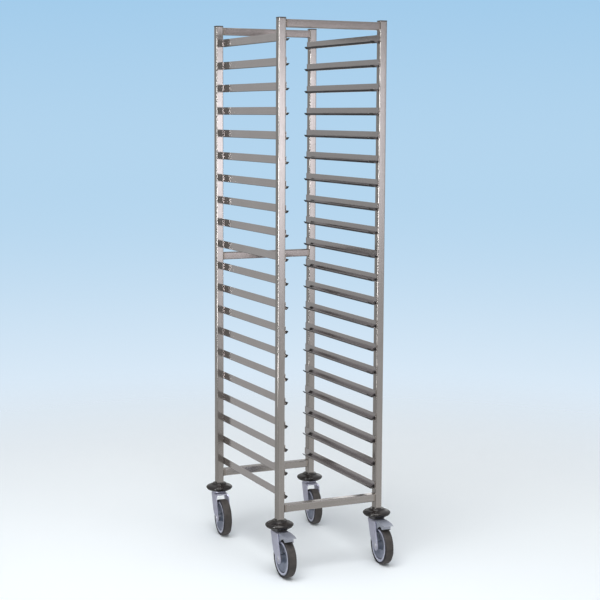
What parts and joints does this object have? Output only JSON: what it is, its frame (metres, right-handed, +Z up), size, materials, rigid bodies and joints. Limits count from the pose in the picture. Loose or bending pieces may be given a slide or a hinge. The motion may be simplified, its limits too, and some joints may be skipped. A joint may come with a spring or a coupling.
{
  "type": "pan rack trolley",
  "caption": "Tall open trolley of square steel tube with folded runners on both sides for sliding in pans or trays, on swivel casters with bumper discs.",
  "frame": {"origin": "on the floor, at the centre of the overall box (the wheels trail to the front, so the frame stands 32 mm behind the origin)", "axes": "+Z up, +X to the right seen from the front, -Y to the front, where pans slide in"},
  "size_m": [0.447, 0.679, 1.778],
  "materials": {
    "upright_steel": "satin stainless tube, brushed lengthways",
    "rail_steel": "satin stainless tube, brushed lengthways",
    "runner_steel": "bright cold-rolled stainless sheet",
    "cap_plastic": "black moulded plastic",
    "bumper_rubber": "smooth black rubber",
    "stem_zinc": "zinc-plated steel",
    "brake_ring_steel": "black race ring on the braked casters",
    "fork_zinc": "blue zinc-plated pressed steel",
    "axle_zinc": "zinc-plated bolt",
    "rim_plastic": "light grey-lavender moulded plastic",
    "tyre_rubber": "dark brown-grey non-marking rubber",
    "pedal_zinc": "blue zinc-plated pressed steel"
  },
  "bodies": {
    "rack": {"upright_fl": "upright_steel", "upright_fr": "upright_steel", "upright_bl": "upright_steel", "upright_br": "upright_steel", "rail_front_top": "rail_steel", "rail_front_bottom": "rail_steel", "rail_back_top": "rail_steel", "rail_back_mid": "rail_steel", "rail_back_bottom": "rail_steel", "cap_fl": "cap_plastic", "cap_fr": "cap_plastic", "cap_bl": "cap_plastic", "cap_br": "cap_plastic", "runners_l_01_02": "runner_steel", "runners_l_03_04": "runner_steel", "runners_l_05_06": "runner_steel", "runners_l_07_08": "runner_steel", "runners_l_09_10": "runner_steel", "runners_l_11_12": "runner_steel", "runners_l_13_14": "runner_steel", "runners_l_15_16": "runner_steel", "runners_l_17_18": "runner_steel", "runners_l_19_20": "runner_steel", "runners_r_01_02": "runner_steel", "runners_r_03_04": "runner_steel", "runners_r_05_06": "runner_steel", "runners_r_07_08": "runner_steel", "runners_r_09_10": "runner_steel", "runners_r_11_12": "runner_steel", "runners_r_13_14": "runner_steel", "runners_r_15_16": "runner_steel", "runners_r_17_18": "runner_steel", "runners_r_19_20": "runner_steel", "bumper_fl": "bumper_rubber", "bumper_fr": "bumper_rubber", "bumper_bl": "bumper_rubber", "bumper_br": "bumper_rubber", "stem_fl": "brake_ring_steel", "stem_fr": "brake_ring_steel", "stem_bl": "stem_zinc", "stem_br": "stem_zinc"},
    "fork_front_left": {"fork_fl": "fork_zinc", "axle_fl": "axle_zinc"},
    "wheel_front_left": {"rim_fl": "rim_plastic", "tyre_fl": "tyre_rubber"},
    "pedal_front_left": {"brake_pedal_fl": "pedal_zinc"},
    "fork_front_right": {"fork_fr": "fork_zinc", "axle_fr": "axle_zinc"},
    "wheel_front_right": {"rim_fr": "rim_plastic", "tyre_fr": "tyre_rubber"},
    "pedal_front_right": {"brake_pedal_fr": "pedal_zinc"},
    "fork_back_left": {"fork_bl": "fork_zinc", "axle_bl": "axle_zinc"},
    "wheel_back_left": {"rim_bl": "rim_plastic", "tyre_bl": "tyre_rubber"},
    "fork_back_right": {"fork_br": "fork_zinc", "axle_br": "axle_zinc"},
    "wheel_back_right": {"rim_br": "rim_plastic", "tyre_br": "tyre_rubber"}
  },
  "joints": [
    {"name": "swivel_front_left", "type": "hinge", "parent": "rack", "child": "fork_front_left", "pos_m": [-0.1775, -0.22953, 0.1428], "axis": [0, 0, 1], "continuous": true},
    {"name": "wheel_spin_front_left", "type": "hinge", "parent": "fork_front_left", "child": "wheel_front_left", "pos_m": [-0.17832, -0.27653, 0.0625], "axis": [0.9998, -0.0175, 0], "continuous": true},
    {"name": "brake_press_front_left", "type": "hinge", "parent": "fork_front_left", "child": "pedal_front_left", "pos_m": [-0.17813, -0.26553, 0.1325], "axis": [0.9998, -0.0175, 0], "range_deg": [0, 4]},
    {"name": "swivel_front_right", "type": "hinge", "parent": "rack", "child": "fork_front_right", "pos_m": [0.1775, -0.22953, 0.1428], "axis": [0, 0, 1], "continuous": true},
    {"name": "wheel_spin_front_right", "type": "hinge", "parent": "fork_front_right", "child": "wheel_front_right", "pos_m": [0.17422, -0.27642, 0.0625], "axis": [0.9976, -0.0698, 0], "continuous": true},
    {"name": "brake_press_front_right", "type": "hinge", "parent": "fork_front_right", "child": "pedal_front_right", "pos_m": [0.17499, -0.26545, 0.1325], "axis": [0.9976, -0.0698, 0], "range_deg": [0, 4]},
    {"name": "swivel_back_left", "type": "hinge", "parent": "rack", "child": "fork_back_left", "pos_m": [-0.1775, 0.29346, 0.1428], "axis": [0, 0, 1], "continuous": true},
    {"name": "wheel_spin_back_left", "type": "hinge", "parent": "fork_back_left", "child": "wheel_back_left", "pos_m": [-0.18201, 0.24668, 0.0625], "axis": [0.9954, -0.0958, 0], "continuous": true},
    {"name": "swivel_back_right", "type": "hinge", "parent": "rack", "child": "fork_back_right", "pos_m": [0.1775, 0.29346, 0.1428], "axis": [0, 0, 1], "continuous": true},
    {"name": "wheel_spin_back_right", "type": "hinge", "parent": "fork_back_right", "child": "wheel_back_right", "pos_m": [0.17136, 0.24687, 0.0625], "axis": [0.9914, -0.1305, 0], "continuous": true}
  ]
}
